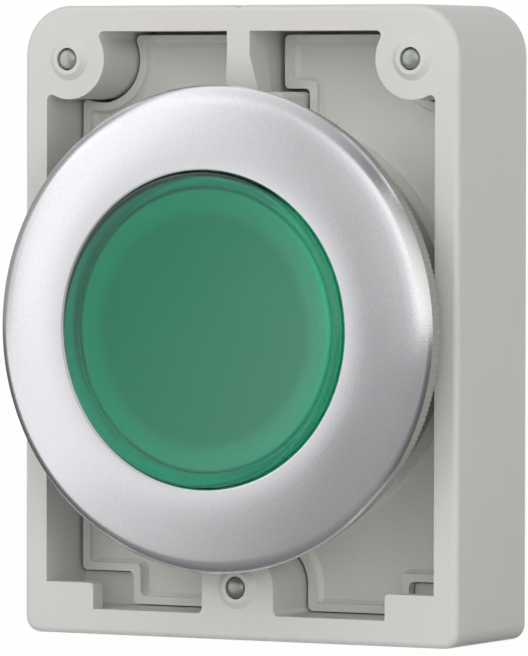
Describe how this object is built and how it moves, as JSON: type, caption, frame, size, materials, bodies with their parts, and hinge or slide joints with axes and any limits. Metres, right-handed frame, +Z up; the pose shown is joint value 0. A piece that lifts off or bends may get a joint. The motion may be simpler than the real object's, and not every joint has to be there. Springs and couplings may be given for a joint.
{
  "type": "illuminated push button",
  "caption": "Illuminated push button for a panel: clear green lens in a domed silver bezel, round barrel, and a rear grey mounting frame clamped by set screws.",
  "frame": {"origin": "on the button axis, in the plane where the gasket seals against the front of the panel", "axes": "-Y is the front that the lens faces, +Y runs along the button axis to the back, +Z is up the mounting frame, +X is to the right seen from the front"},
  "size_m": [0.0364, 0.0203, 0.047],
  "materials": {
    "frame_plastic": "light grey, fine matt moulding",
    "base_plastic": "mid grey, fine matt moulding",
    "barrel_plastic": "dark grey moulding",
    "bezel_metal": "satin silver with a fine speckle",
    "seal_rubber": "soft black",
    "gasket_rubber": "grey, finely fluted rim",
    "lens_green": "clear green, polished",
    "diffuser_plastic": "translucent, matt",
    "carrier_plastic": "white moulding",
    "tube_plastic": "clear, polished",
    "spring_steel": "bright wire and strip",
    "screw_steel": "nickel plated",
    "insert_brass": "knurled"
  },
  "bodies": {
    "housing": {"mounting_frame": "frame_plastic", "base_plate": "base_plastic", "barrel": "barrel_plastic", "bezel_ring": "bezel_metal", "bezel_seal": "seal_rubber", "panel_gasket": "gasket_rubber", "lip_seal": "seal_rubber", "light_tube": "tube_plastic", "spring_plate": "barrel_plastic", "return_spring": "spring_steel", "retaining_ring": "spring_steel", "lock_ring": "spring_steel", "thread_insert_left": "insert_brass", "thread_insert_right": "insert_brass", "thread_insert_bottom": "insert_brass"},
    "button": {"lens_cap": "lens_green", "diffuser_disc": "diffuser_plastic", "button_carrier": "carrier_plastic", "contact_pusher": "carrier_plastic"},
    "screw_left": {"clamp_screw_left": "screw_steel"},
    "screw_right": {"clamp_screw_right": "screw_steel"},
    "screw_bottom": {"clamp_screw_bottom": "screw_steel"}
  },
  "joints": [
    {"name": "button_press", "type": "slide", "parent": "housing", "child": "button", "axis": [0, 1, 0], "range_m": [0, 0.004], "stiffness_N_per_m": 320, "springref_m": -0.008, "deforming": ["return_spring"]},
    {"name": "clamp_advance_left", "type": "slide", "parent": "housing", "child": "screw_left", "axis": [0, -1, 0], "range_m": [0, 0.003]},
    {"name": "clamp_advance_right", "type": "slide", "parent": "housing", "child": "screw_right", "axis": [0, -1, 0], "range_m": [0, 0.003]},
    {"name": "clamp_advance_bottom", "type": "slide", "parent": "housing", "child": "screw_bottom", "axis": [0, -1, 0], "range_m": [0, 0.003]}
  ]
}
